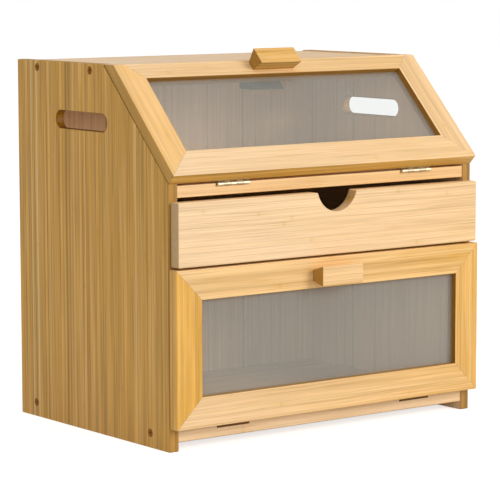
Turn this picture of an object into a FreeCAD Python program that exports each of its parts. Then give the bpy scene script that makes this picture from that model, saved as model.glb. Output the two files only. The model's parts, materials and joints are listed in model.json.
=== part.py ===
import FreeCAD, Part
import math
import os
from FreeCAD import Placement, Rotation, Vector

# Bread box with a sloping lid, a drawer and a drop-down door, in solid bamboo with clear windows.
# Millimetres. +X to the right, +Y to the back, +Z up. Everything is built with y = 0 at the front edges of
# the side panels and z = 0 on the table; export() then moves the origin under the middle of the box.

# ---- carcass
WIDTH = 360.0                # over the side panels
DEPTH = 253.0                # of the side panels
HEIGHT = 346.5               # of the side panels
SIDE = 10.0                  # thickness of a side panel
BOARD = 11.0                 # thickness of the shelves, the top and the bottom
SLOPE_FOOT = 243.0           # height where the 45 degree slope starts
SLOPE_TURN = 45.0            # degrees
FOOT_GAP = 8.3               # under the bottom board
BOARD_INSET = 0.8            # fronts of the boards lie this far behind the front edges of the sides
TOP_INSET = 1.0              # top board below the tops of the sides
DRAWER_SHELF_TOP = 167.0
UPPER_SHELF_TOP = 241.2
HOUSING = 4.0                # depth of the housings that hold the shelves and the back
HOUSING_STOP = 9.0           # the shelf housings stop this far behind the front
BACK = 5.0                   # thickness of the back panel
BACK_INSET = 5.0             # back panel in front of the rear edges
EASE = 0.8                   # bevel on the boards' edges
SLOT_LENGTH, SLOT_WIDTH = 88.0, 17.0
SLOT_Y, SLOT_Z = 142.0, 292.3
SLOT_EASE = 1.5              # bevel round the hand slots
TOP_SCREW_Y = (126.0, 217.5)     # screws through the sides into the top board
BOTTOM_SCREW_Y = (31.0, 226.0)   # and into the bottom board

# ---- lid and door: mitred frames with a window
LEAF = 11.7                  # thickness of the lid, the door and the drawer front
LEAF_GAP = 0.3               # behind each of them
MEMBER = 28.5                # width of the frame members
WINDOW = 2.0                 # thickness of the clear sheet
WINDOW_INSET = 5.0           # behind the front face
WINDOW_GROOVE = 5.0          # depth of its groove
LID_WINDOW_TOP = 114.7       # up the slope, from the lid's lower end
DOOR_BOTTOM, DOOR_HEIGHT = 21.5, 145.0

# ---- pulls: dovetail section
PULL_LENGTH, PULL_REACH = 48.0, 15.0
PULL_BASE, PULL_FACE = 10.3, 19.2
LID_PULL_UP, DOOR_PULL_UP = 127.0, 129.2
PULL_SCREW_X = 14.0

# ---- drawer
DRAWER_BOTTOM, DRAWER_HEIGHT, DRAWER_FRONT_WIDTH = 168.5, 58.5, 355.0
NOTCH_RADIUS, NOTCH_DEPTH = 23.3, 18.5
NOTCH_X = 4.0                # right of the middle
NOTCH_LIP = 2.0              # rounding of the notch's two lips
DRAWER_PLAY = 1.0            # each side of the drawer box
DRAWER_LIFT = 0.3            # under the drawer box
DRAWER_SIDE = 9.0
DRAWER_BOX_TOP = 221.0
DRAWER_BOX_DEPTH = 231.0
DRAWER_FLOOR = 4.0
DRAWER_FLOOR_UP = 4.7        # of its underside, over the sides' lower edges
TENON = 4.0                  # of the drawer's sides and bottom in its front
DRAWER_SCREW_Z = (188.0, 210.0)

# ---- butt hinges
HINGE_LENGTH, HINGE_X = 38.0, 109.0
BARREL = 1.8                 # outer radius
HINGE_PLATE = 1.0
PIN = BARREL - HINGE_PLATE   # radius
PIN_PLAY = 0.05
KNUCKLES = 5
KNUCKLE_GAP = 0.1            # at each end of a knuckle
HINGE_REACH = 12.0           # from the axis to the leaf's edge
MORTISE = 2.6                # depth of the recess for the fixed leaf
BARREL_ROOM = 0.4            # round the barrel
HINGE_SCREW_X, HINGE_SCREW_Y = 11.0, 7.3

# ---- magnetic catches
CATCH_X, CATCH_WIDTH = -6.0, 36.0
CATCH_POLE = 1.2             # thickness and reach of the pole plates
POLE_LENGTH, POLE_DEPTH = 18.0, 9.7
POLE_SPREAD = 6.2            # over the two pole plates
CATCH_GAP = 0.2              # between the pole plates and the strike plate
CATCH_SCREW_X = 13.5
STRIKE_WIDTH, STRIKE_HEIGHT, STRIKE = 34.0, 12.0, 1.2
STRIKE_CORNER = 2.0
STRIKE_SCREW_X = 13.0
LID_STRIKE_UP, DOOR_STRIKE_UP = 123.6, 127.5
LID_CATCH_HEIGHT, DOOR_CATCH_HEIGHT = 16.0, 14.0
LID_CATCH_BACK, DOOR_CATCH_BACK = 104.0, 20.0
LID_CATCH_SCREW_Y, DOOR_CATCH_SCREW_Y = 97.0, 15.0
CATCH_EASE = 0.6

# ---- countersunk screws: head radius, shank radius, length
SCREW_SIDES = 6              # flat sides of a screw, which keep these small parts light
SCREW_TIP = 0.25             # of the shank's radius
SIDE_SCREW = (3.7, 2.2, 45.0)
HINGE_SCREW = (2.2, 1.2, 8.0)
CATCH_SCREW = (2.8, 1.5, 20.0)
PULL_SCREW = (3.2, 1.8, 20.0)
STRIKE_SCREW = (2.3, 1.3, 9.0)
DRAWER_SCREW = (2.8, 1.5, 28.0)

INNER = WIDTH / 2 - SIDE
BOTTOM_TOP = FOOT_GAP + BOARD
TOP_LOW = HEIGHT - TOP_INSET - BOARD
HINGE_SIDES = {"left": -HINGE_X, "right": HINGE_X}
Y_SHIFT = -(DEPTH - LEAF_GAP - LEAF - PULL_REACH) / 2
UP, DOWN, BACKWARD = Vector(0, 0, 1), Vector(0, 0, -1), Vector(0, 1, 0)
LEFT, RIGHT = Vector(-1, 0, 0), Vector(1, 0, 0)
NEARLY = 0.01                # two positions this close are the same


# ---- shapes
def box(x, y, z):
    """A block between two ends on each axis."""
    corner = Vector(min(x), min(y), min(z))
    return Part.makeBox(abs(x[1] - x[0]), abs(y[1] - y[0]), abs(z[1] - z[0]), corner)


def plate(outline, x):
    """A (y, z) outline drawn out between two x positions."""
    wire = Part.makePolygon([Vector(x[0], y, z) for y, z in outline + outline[:1]])
    return Part.Face(wire).extrude(Vector(x[1] - x[0], 0, 0))


def sheet(outline, z):
    """An (x, y) outline drawn out between two z positions."""
    wire = Part.makePolygon([Vector(x, y, z[0]) for x, y in outline + outline[:1]])
    return Part.Face(wire).extrude(Vector(0, 0, z[1] - z[0]))


def rod(radius, x, y=0.0, z=0.0):
    """A round bar along X."""
    return Part.makeCylinder(radius, x[1] - x[0], Vector(x[0], y, z), RIGHT)


def screw(size, point, direction):
    """A countersunk screw with its head flush at a point, driven along a direction."""
    head, shank, length = size
    stations = [(head, 0), (shank, head - shank), (shank, length - shank), (SCREW_TIP * shank, length)]
    turns = [2 * math.pi * k / SCREW_SIDES for k in range(SCREW_SIDES + 1)]
    rings = [[Vector(r * math.cos(t), r * math.sin(t), z) for t in turns] for r, z in stations]
    outlines = [rings[0], rings[-1]]
    for a, b in zip(rings, rings[1:]):
        outlines += [[a[k], a[k + 1], b[k + 1], b[k], a[k]] for k in range(SCREW_SIDES)]
    body = Part.Solid(Part.Shell([Part.Face(Part.makePolygon(outline)) for outline in outlines]))
    body.Placement = Placement(point, Rotation(UP, direction))
    return body


def bevelled(shape, chosen, size=EASE):
    """Bevels the edges that a test picks."""
    return shape.makeChamfer(size, [edge for edge in shape.Edges if chosen(edge)])


def rounded(shape, chosen, radius):
    """Rounds the edges that a test picks."""
    return shape.makeFillet(radius, [edge for edge in shape.Edges if chosen(edge)])


def lies(edge, axis, value):
    """Whether a whole edge lies at one position on an axis."""
    low, high = getattr(edge.BoundBox, axis + "Min"), getattr(edge.BoundBox, axis + "Max")
    return abs(low - value) < NEARLY and abs(high - value) < NEARLY


def cut_for(shape, *others):
    """Makes room in a shape for other solids."""
    for other in others:
        for solid in other.Solids:
            shape = shape.cut(solid)
    return shape


def group(shapes):
    return Part.makeCompound(list(shapes))


# ---- joint axes and the frames of the moving parts
def slope_frame():
    """Lid frame: y runs up the slope from the sides' front corners, z stands out of it."""
    return Placement(Vector(0, 0, SLOPE_FOOT), Rotation(RIGHT, SLOPE_TURN))


def door_frame():
    """Door frame: y runs up from the door's lower edge, z stands out of its face."""
    return Placement(Vector(0, 0, DOOR_BOTTOM), Rotation(RIGHT, 90.0))


def hinge_axis(board_top, frame):
    """The axis lies a barrel's radius over its mortise and behind the inner face of the leaf."""
    z = board_top - MORTISE + BARREL
    inward = frame.Rotation.multVec(DOWN)
    needed = BARREL - LEAF_GAP
    y = (needed - inward.z * (z - frame.Base.z)) / inward.y
    return Vector(0, y, z)


LID_FRAME, DOOR_FRAME = slope_frame(), door_frame()
LID_AXIS = hinge_axis(UPPER_SHELF_TOP, LID_FRAME)
DOOR_AXIS = hinge_axis(BOTTOM_TOP, DOOR_FRAME)


# ---- hinges
def hinge_leaf(own):
    """One leaf about its own axis: its plate runs to +Y with the wood side at -Z. own picks the knuckles."""
    half = HINGE_LENGTH / 2
    step = HINGE_LENGTH / KNUCKLES
    clear = BARREL + BARREL_ROOM
    leaf = box((-half, half), (clear, HINGE_REACH), (-BARREL, -PIN))
    bore = PIN
    if own == "moving":
        bore = PIN + PIN_PLAY
    for k in range(KNUCKLES):
        if (k % 2 == 0) == (own == "fixed"):
            span = (-half + k * step + KNUCKLE_GAP, -half + (k + 1) * step - KNUCKLE_GAP)
            leaf = leaf.fuse(rod(BARREL, span)).fuse(box(span, (0, clear), (-BARREL, -PIN)))
    leaf = leaf.removeSplitter().cut(rod(bore, (-half, half)))
    for x in (-HINGE_SCREW_X, HINGE_SCREW_X):
        leaf = leaf.cut(hinge_screw(x))
    return leaf


def hinge_screw(x):
    return screw(HINGE_SCREW, Vector(x, HINGE_SCREW_Y, -PIN), DOWN)


def moved(shape, placement):
    copy = shape.copy()
    copy.Placement = placement.multiply(copy.Placement)
    return copy


def fixed_place(axis, x):
    return Placement(axis + Vector(x, 0, 0), Rotation())


def moving_place(axis, frame, x):
    """A leaf turned over, with its wood side against the inner face of the lid or door."""
    return Placement(axis + Vector(x, 0, 0), frame.Rotation.multiply(Rotation(BACKWARD, 180)))


def hinge_set(prefix, axis, frame):
    """Both hinges of the lid or the door: fixed leaves, pins, moving leaves and the screws of each."""
    parts = {"fixed": {}, "moving": {}, "fixed_screws": [], "moving_screws": []}
    for side, x in HINGE_SIDES.items():
        here, there = fixed_place(axis, x), moving_place(axis, frame, x)
        parts["fixed"][f"{prefix}_{side}_hinge_fixed_leaf"] = moved(hinge_leaf("fixed"), here)
        pin = rod(PIN, (-HINGE_LENGTH / 2, HINGE_LENGTH / 2))
        parts["fixed"][f"{prefix}_{side}_hinge_pin"] = moved(pin, here)
        parts["moving"][f"{prefix}_{side}_hinge_moving_leaf"] = moved(hinge_leaf("moving"), there)
        for screw_x in (-HINGE_SCREW_X, HINGE_SCREW_X):
            parts["fixed_screws"].append(moved(hinge_screw(screw_x), here))
            parts["moving_screws"].append(moved(hinge_screw(screw_x), there))
    return parts


def hinge_room(axis, board_top):
    """The mortises for the fixed leaves and the hollows under the barrels."""
    half = HINGE_LENGTH / 2 + BARREL_ROOM
    room = []
    for x in HINGE_SIDES.values():
        room.append(box((x - half, x + half), (-LEAF, axis.y + HINGE_REACH),
                        (board_top - MORTISE, board_top + MORTISE)))
        room.append(rod(BARREL + BARREL_ROOM, (x - half, x + half), axis.y, axis.z))
    return group(room)


# ---- lid and door
def frame_members(height, window_top, top_cut=None):
    """Rails and stiles meeting in mitres, grooved for the window; flat, in the frame of the lid or door."""
    out, hole = WIDTH / 2, WIDTH / 2 - MEMBER
    corners = {"sw": (-out, 0), "se": (out, 0), "ne": (out, height), "nw": (-out, height)}
    mitres = {"sw": (-hole, MEMBER), "se": (hole, MEMBER),
              "ne": (hole, window_top), "nw": (-hole, window_top)}
    thick = (LEAF_GAP, LEAF_GAP + LEAF)
    back = LEAF_GAP + LEAF - WINDOW_INSET - WINDOW
    reach = hole + WINDOW_GROOVE
    window = box((-reach, reach), (MEMBER - WINDOW_GROOVE, window_top + WINDOW_GROOVE),
                 (back, back + WINDOW))
    blank = sheet([corners[c] for c in ("sw", "se", "ne", "nw")], thick)
    if top_cut:
        blank = blank.cut(top_cut)
    rim = bevelled(blank, lambda e: not on_inner_face(e))
    members = {}
    for name, (a, b) in {"bottom_rail": ("sw", "se"), "right_stile": ("se", "ne"),
                         "top_rail": ("ne", "nw"), "left_stile": ("nw", "sw")}.items():
        outline = [corners[a], corners[b], mitres[b], mitres[a]]
        member = rim.common(sheet(outline, (-LEAF, 2 * LEAF)))
        member = bevelled(member, lambda e: on_window_rim(e, hole, window_top, thick[1]))
        members[name] = member.cut(window)
    members["window"] = window
    return members


def on_inner_face(edge):
    return lies(edge, "Z", LEAF_GAP)


def on_window_rim(edge, hole, window_top, face):
    """The front edge of a member beside the window."""
    beside_stile = lies(edge, "X", hole) or lies(edge, "X", -hole)
    beside_rail = lies(edge, "Y", MEMBER) or lies(edge, "Y", window_top)
    return (beside_stile or beside_rail) and lies(edge, "Z", face)


def pull(up):
    """A dovetail bar on the front face."""
    face = LEAF_GAP + LEAF
    outline = [(up - PULL_BASE / 2, face), (up + PULL_BASE / 2, face),
               (up + PULL_FACE / 2, face + PULL_REACH), (up - PULL_FACE / 2, face + PULL_REACH)]
    bar = plate(outline, (-PULL_LENGTH / 2, PULL_LENGTH / 2))
    return bevelled(bar, lambda e: not lies(e, "Z", face))


def strike_plate(up):
    across = (CATCH_X - STRIKE_WIDTH / 2, CATCH_X + STRIKE_WIDTH / 2)
    bar = box(across, (up - STRIKE_HEIGHT / 2, up + STRIKE_HEIGHT / 2), (LEAF_GAP - STRIKE, LEAF_GAP))
    return bevelled(bar, lambda e: e.BoundBox.ZLength > STRIKE / 2, STRIKE_CORNER)


def swinging_part(prefix, flat, frame, axis, pull_up, strike_up):
    """Lid or door, in place: its frame and window, pull, strike plate, screws and moving hinge leaves."""
    hinges = hinge_set(prefix, axis, frame)
    pull_screws = group(screw(PULL_SCREW, Vector(x, pull_up, LEAF_GAP), UP)
                        for x in (-PULL_SCREW_X, PULL_SCREW_X))
    strike_screws = group(screw(STRIKE_SCREW, Vector(CATCH_X + x, strike_up, LEAF_GAP - STRIKE), UP)
                          for x in (-STRIKE_SCREW_X, STRIKE_SCREW_X))
    flat["top_rail"] = cut_for(flat["top_rail"], pull_screws, strike_screws)
    flat["pull"] = cut_for(pull(pull_up), pull_screws)
    flat["strike_plate"] = cut_for(strike_plate(strike_up), strike_screws)
    flat["pull_screws"], flat["strike_screws"] = pull_screws, strike_screws
    nodes = {f"{prefix}_{name}": moved(shape, frame) for name, shape in flat.items()}
    screws = group(hinges["moving_screws"])
    nodes[f"{prefix}_bottom_rail"] = cut_for(nodes[f"{prefix}_bottom_rail"], screws)
    nodes[f"{prefix}_hinge_screws"] = screws
    nodes.update(hinges["moving"])
    return nodes, hinges


# ---- catches
def catch(frame, strike_up):
    """Pole plates and magnet, in place, and the plane in the frame that the housing's front keeps to."""
    front = LEAF_GAP - STRIKE - CATCH_GAP
    across = (CATCH_X - POLE_LENGTH / 2, CATCH_X + POLE_LENGTH / 2)
    low, high = strike_up - POLE_SPREAD / 2, strike_up + POLE_SPREAD / 2
    poles = group([box(across, (low, low + CATCH_POLE), (front - POLE_DEPTH, front)),
                   box(across, (high - CATCH_POLE, high), (front - POLE_DEPTH, front))])
    magnet = box(across, (low + CATCH_POLE, high - CATCH_POLE),
                 (front - POLE_DEPTH, front - 2 * CATCH_POLE))
    return moved(poles, frame), moved(magnet, frame), front - CATCH_POLE


def catch_housing(outline, poles, magnet, screw_y):
    """A plastic block drawn out from its side view, hollowed for the magnet, and its two screws."""
    across = (CATCH_X - CATCH_WIDTH / 2, CATCH_X + CATCH_WIDTH / 2)
    heights = [z for y, z in outline]
    low, high = min(heights), max(heights)
    block = bevelled(plate(outline, across), lambda e: not lies(e, "Z", high), CATCH_EASE)
    screws = group(screw(CATCH_SCREW, Vector(CATCH_X + x, screw_y, low), UP)
                   for x in (-CATCH_SCREW_X, CATCH_SCREW_X))
    return cut_for(block, poles, magnet, screws), screws


def lid_catch():
    """Under the top board, with its front at the slope of the lid."""
    poles, magnet, plane = catch(LID_FRAME, LID_STRIKE_UP)
    low = TOP_LOW - LID_CATCH_HEIGHT
    lean = plane / math.cos(math.radians(SLOPE_TURN))
    outline = [(z - SLOPE_FOOT - lean, z) for z in (TOP_LOW, low)]
    outline += [(LID_CATCH_BACK, low), (LID_CATCH_BACK, TOP_LOW)]
    housing, screws = catch_housing(outline, poles, magnet, LID_CATCH_SCREW_Y)
    nodes = {"lid_catch_housing": housing, "lid_catch_pole_plates": poles, "lid_catch_magnet": magnet}
    return nodes, screws


def door_catch():
    """Under the drawer shelf."""
    poles, magnet, plane = catch(DOOR_FRAME, DOOR_STRIKE_UP)
    high = DRAWER_SHELF_TOP - BOARD
    low = high - DOOR_CATCH_HEIGHT
    outline = [(-plane, high), (-plane, low), (DOOR_CATCH_BACK, low), (DOOR_CATCH_BACK, high)]
    housing, screws = catch_housing(outline, poles, magnet, DOOR_CATCH_SCREW_Y)
    nodes = {"door_catch_housing": housing, "door_catch_pole_plates": poles, "door_catch_magnet": magnet}
    return nodes, screws


# ---- carcass
def side_panel(sign):
    """A board with its front top corner cut at 45 degrees and a hand slot with round ends."""
    slope_top = HEIGHT - SLOPE_FOOT
    outline = [(0, 0), (DEPTH, 0), (DEPTH, HEIGHT), (slope_top, HEIGHT), (0, SLOPE_FOOT)]
    panel = plate(outline, (INNER, INNER + SIDE))
    panel = bevelled(panel, lambda e: not lies(e, "X", INNER) or e.BoundBox.YMax < slope_top + 1)
    half, radius = SLOT_LENGTH / 2 - SLOT_WIDTH / 2, SLOT_WIDTH / 2
    slot = box((INNER, INNER + SIDE), (SLOT_Y - half, SLOT_Y + half), (SLOT_Z - radius, SLOT_Z + radius))
    for y in (SLOT_Y - half, SLOT_Y + half):
        slot = slot.fuse(rod(radius, (INNER, INNER + SIDE), y, SLOT_Z))
    panel = panel.cut(slot.removeSplitter())
    panel = bevelled(panel, on_slot_rim, SLOT_EASE)
    if sign < 0:
        panel = panel.mirror(Vector(0, 0, 0), RIGHT)
    return panel


def on_slot_rim(edge):
    """An edge of the hand slot's mouth, on either face."""
    inside = edge.BoundBox.ZMin > SLOT_Z - SLOT_WIDTH and edge.BoundBox.ZMax < SLOT_Z + SLOT_WIDTH
    near = abs(edge.BoundBox.Center.y - SLOT_Y) < SLOT_LENGTH
    return inside and near and edge.BoundBox.XLength < NEARLY


def shelf(top):
    """A board whose ends are housed in the sides, behind a stop that hides the housings."""
    back = DEPTH - BACK_INSET - BACK
    board = box((-INNER, INNER), (BOARD_INSET, back), (top - BOARD, top))
    board = bevelled(board, lambda e: lies(e, "Y", BOARD_INSET))
    tongue = box((-INNER - HOUSING, INNER + HOUSING), (HOUSING_STOP, back), (top - BOARD, top))
    return board.fuse(tongue).removeSplitter()


def end_board(low, front):
    """The top or bottom board, butted between the sides; front is the (y, z) outline of its front edge."""
    rear = DEPTH - BOARD_INSET
    board = plate(front + [(rear, low + BOARD), (rear, low)], (-INNER, INNER))
    return bevelled(board, lambda e: e.BoundBox.XLength > WIDTH / 2)


def carcass(lid_hinges, door_hinges):
    """Everything that stands still: panels, boards, catches, fixed hinge leaves and their screws."""
    rows = ((TOP_LOW + BOARD / 2, TOP_SCREW_Y), (FOOT_GAP + BOARD / 2, BOTTOM_SCREW_Y))
    side_screws = group(screw(SIDE_SCREW, Vector(-d.x * WIDTH / 2, y, z), d)
                        for d in (LEFT, RIGHT) for z, row in rows for y in row)
    hinge_screws = group(lid_hinges["fixed_screws"] + door_hinges["fixed_screws"])
    nodes, lid_catch_screws = lid_catch()
    door_catch_nodes, door_catch_screws = door_catch()
    nodes.update(door_catch_nodes)
    catch_screws = group(lid_catch_screws.Solids + door_catch_screws.Solids)

    back = box((-INNER - HOUSING, INNER + HOUSING), (DEPTH - BACK_INSET - BACK, DEPTH - BACK_INSET),
               (BOTTOM_TOP - HOUSING, TOP_LOW + HOUSING))
    slope_y = TOP_LOW - SLOPE_FOOT + BOARD_INSET
    top = end_board(TOP_LOW, [(slope_y, TOP_LOW), (slope_y + BOARD, TOP_LOW + BOARD)])
    bottom = end_board(FOOT_GAP, [(BOARD_INSET, FOOT_GAP), (BOARD_INSET, BOTTOM_TOP)])
    upper, lower = shelf(UPPER_SHELF_TOP), shelf(DRAWER_SHELF_TOP)
    housed = (back, upper, lower, side_screws)
    nodes["left_side_panel"] = cut_for(side_panel(-1), *housed)
    nodes["right_side_panel"] = cut_for(side_panel(1), *housed)
    nodes["back_panel"] = back
    nodes["upper_shelf"] = cut_for(upper, hinge_room(LID_AXIS, UPPER_SHELF_TOP), hinge_screws)
    nodes["drawer_shelf"] = cut_for(lower, catch_screws)
    nodes["top_board"] = cut_for(top, back, side_screws, catch_screws)
    nodes["bottom_board"] = cut_for(bottom, back, side_screws, hinge_screws,
                                    hinge_room(DOOR_AXIS, BOTTOM_TOP))
    nodes["side_screws"] = side_screws
    nodes["fixed_hinge_screws"] = hinge_screws
    nodes["catch_screws"] = catch_screws
    nodes.update(lid_hinges["fixed"])
    nodes.update(door_hinges["fixed"])
    return nodes


# ---- drawer
def drawer_front():
    """An overlay front with a round finger notch, whose centre is above the top edge."""
    top = DRAWER_BOTTOM + DRAWER_HEIGHT
    half = DRAWER_FRONT_WIDTH / 2
    front = box((-half, half), (-LEAF_GAP - LEAF, -LEAF_GAP), (DRAWER_BOTTOM, top))
    centre = Vector(NOTCH_X, -LEAF_GAP - LEAF, top + NOTCH_RADIUS - NOTCH_DEPTH)
    notch = Part.makeCylinder(NOTCH_RADIUS, LEAF, centre, BACKWARD)
    front = front.cut(notch)
    front = rounded(front, lambda e: on_notch_lip(e, top), NOTCH_LIP)
    return bevelled(front, lambda e: not lies(e, "Y", -LEAF_GAP) and e.BoundBox.YLength < NEARLY)


def on_notch_lip(edge, top):
    """A corner where the finger notch meets the front's top edge."""
    near = abs(edge.BoundBox.Center.x - NOTCH_X) < NOTCH_RADIUS + 1
    return near and lies(edge, "Z", top) and edge.BoundBox.YLength > LEAF / 2


def drawer():
    """The front and the box behind it, whose bottom is grooved into the sides and the front."""
    outer = INNER - DRAWER_PLAY
    low = DRAWER_SHELF_TOP + DRAWER_LIFT
    floor = low + DRAWER_FLOOR_UP
    face = -LEAF_GAP
    inner = outer - DRAWER_SIDE
    bottom = box((-inner - TENON, inner + TENON), (face - TENON, DRAWER_BOX_DEPTH),
                 (floor, floor + DRAWER_FLOOR))
    back = box((-inner, inner), (DRAWER_BOX_DEPTH - DRAWER_SIDE, DRAWER_BOX_DEPTH),
               (floor + DRAWER_FLOOR, DRAWER_BOX_TOP))
    back = bevelled(back, lambda e: lies(e, "Z", DRAWER_BOX_TOP) and e.BoundBox.XLength > DRAWER_SIDE)
    screw_y = DRAWER_BOX_DEPTH - DRAWER_SIDE / 2
    screws = group(screw(DRAWER_SCREW, Vector(-d.x * outer, screw_y, z), d)
                   for d in (LEFT, RIGHT) for z in DRAWER_SCREW_Z)
    sides = {}
    for name, sign in (("left", -1), ("right", 1)):
        across = (sign * outer, sign * inner)
        board = box(across, (face, DRAWER_BOX_DEPTH), (low, DRAWER_BOX_TOP))
        board = bevelled(board, lambda e: lies(e, "Z", DRAWER_BOX_TOP) and e.BoundBox.YLength > DRAWER_SIDE)
        tenon = box(across, (face - TENON, face), (low + DRAWER_FLOOR_UP, DRAWER_BOX_TOP - TENON))
        sides[f"drawer_{name}_side"] = cut_for(board.fuse(tenon).removeSplitter(), bottom, screws)
    nodes = {"drawer_front": cut_for(drawer_front(), bottom, *sides.values()),
             "drawer_bottom": bottom, "drawer_back": cut_for(back, screws), "drawer_screws": screws}
    nodes.update(sides)
    return nodes


def export(nodes):
    os.makedirs("parts", exist_ok=True)
    for name, shape in nodes.items():
        placed = moved(shape, Placement(Vector(0, Y_SHIFT, 0), Rotation()))
        placed.exportStep(f"parts/{name}.step")


def main():
    above = box((-WIDTH, WIDTH), (-WIDTH, WIDTH), (HEIGHT, 2 * HEIGHT))
    slope = (HEIGHT - SLOPE_FOOT) / math.sin(math.radians(SLOPE_TURN))
    lid_flat = frame_members(slope, LID_WINDOW_TOP, moved(above, LID_FRAME.inverse()))
    door_flat = frame_members(DOOR_HEIGHT, DOOR_HEIGHT - MEMBER)
    lid, lid_hinges = swinging_part("lid", lid_flat, LID_FRAME, LID_AXIS, LID_PULL_UP, LID_STRIKE_UP)
    door, door_hinges = swinging_part("door", door_flat, DOOR_FRAME, DOOR_AXIS,
                                      DOOR_PULL_UP, DOOR_STRIKE_UP)
    nodes = carcass(lid_hinges, door_hinges)
    for part in (lid, door, drawer()):
        nodes.update(part)
    export(nodes)
    print(len(nodes), "nodes; lid axis", LID_AXIS, "door axis", DOOR_AXIS, "moved back by", Y_SHIFT)


main()
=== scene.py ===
import itertools
import json
import math

import bmesh
import bpy
import numpy as np
from mathutils import Matrix, Vector
from mathutils.geometry import tessellate_polygon

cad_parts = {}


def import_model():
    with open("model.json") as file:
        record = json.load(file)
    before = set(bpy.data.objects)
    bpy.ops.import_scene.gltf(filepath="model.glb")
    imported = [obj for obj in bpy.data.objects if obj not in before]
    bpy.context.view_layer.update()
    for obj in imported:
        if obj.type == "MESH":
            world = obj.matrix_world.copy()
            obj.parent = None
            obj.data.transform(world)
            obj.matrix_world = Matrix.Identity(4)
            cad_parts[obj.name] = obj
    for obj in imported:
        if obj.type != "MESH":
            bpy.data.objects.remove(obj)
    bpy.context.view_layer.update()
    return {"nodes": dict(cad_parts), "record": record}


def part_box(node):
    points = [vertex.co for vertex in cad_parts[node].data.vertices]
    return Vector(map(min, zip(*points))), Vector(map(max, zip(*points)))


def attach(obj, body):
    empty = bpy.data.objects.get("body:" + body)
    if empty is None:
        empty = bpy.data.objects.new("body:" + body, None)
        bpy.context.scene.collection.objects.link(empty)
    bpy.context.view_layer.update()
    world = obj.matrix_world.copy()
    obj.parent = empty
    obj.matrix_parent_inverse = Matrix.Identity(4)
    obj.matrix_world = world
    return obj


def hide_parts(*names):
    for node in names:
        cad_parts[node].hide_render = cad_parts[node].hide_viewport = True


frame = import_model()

# Bread box with a sloping windowed lid, a drawer and a drop-down windowed door, in laminated bamboo.
# Shapes are worked out in millimetres, with +X to the right, +Y to the back and +Z up.

MM = 0.001
SUBPARTS = {row["node"]: row["material_slot"] for row in frame["record"]["subparts"]}
BODY_OF = {node: body for body, nodes in frame["record"]["behaviour"]["bodies"].items() for node in nodes}

X, Y, Z = np.eye(3)
FROM_SIDE = (Y, Z, X)        # outline in (y, z), drawn out along x
FROM_FRONT = (X, Z, -Y)      # outline in (x, z), drawn out towards the front
FROM_ABOVE = (X, Y, Z)
SIDES = (("left", -1), ("right", 1))


def size(node):
    """The lowest and the highest corner of a node, in millimetres."""
    return [np.array(corner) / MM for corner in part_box(node)]


# ---- the box's driving sizes, from its left side panel
side_low, side_high = size("left_side_panel")
FRONT, REAR, TALL = side_low[1], side_high[1], side_high[2]
WIDE, THICK = -side_low[0], side_high[0] - side_low[0]
INNER = WIDE - THICK
EASE = 0.8                   # rounding of the edges in sight
FINE_EASE = 0.3              # rounding of the edges that meet other boards
BACK_EASE = 0.4              # rounding of the edges that look into the box

# ---- camera: a long lens from the left, a little above the box
PICTURE, FOCAL = 500, 2452.2     # width and focal length in pixels
SENSOR = 36.0                    # the same width in millimetres
CAMERA_AT = (-1.4250, -1.8958, 0.4466)
YAW, PITCH, ROLL = math.radians(36.845), math.radians(6.880), math.radians(-0.131)


def aim(yaw, pitch, roll):
    """Axes of a camera turned yaw to the right of +Y and pitch downwards, then rolled, as a rotation."""
    level = Vector((math.cos(yaw), -math.sin(yaw), 0))
    ahead = Vector((math.sin(yaw) * math.cos(pitch), math.cos(yaw) * math.cos(pitch), -math.sin(pitch)))
    above = level.cross(ahead)
    right = math.cos(roll) * level + math.sin(roll) * above
    up = math.cos(roll) * above - math.sin(roll) * level
    return Matrix((right, up, -ahead)).transposed()


camera = bpy.data.objects.new("camera", bpy.data.cameras.new("camera"))
camera.data.sensor_width = SENSOR
camera.data.lens = FOCAL * SENSOR / PICTURE
camera.matrix_world = Matrix.Translation(CAMERA_AT) @ aim(YAW, PITCH, ROLL).to_4x4()
bpy.context.scene.collection.objects.link(camera)
bpy.context.scene.camera = camera
bpy.context.scene.view_settings.view_transform = "Standard"


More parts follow.
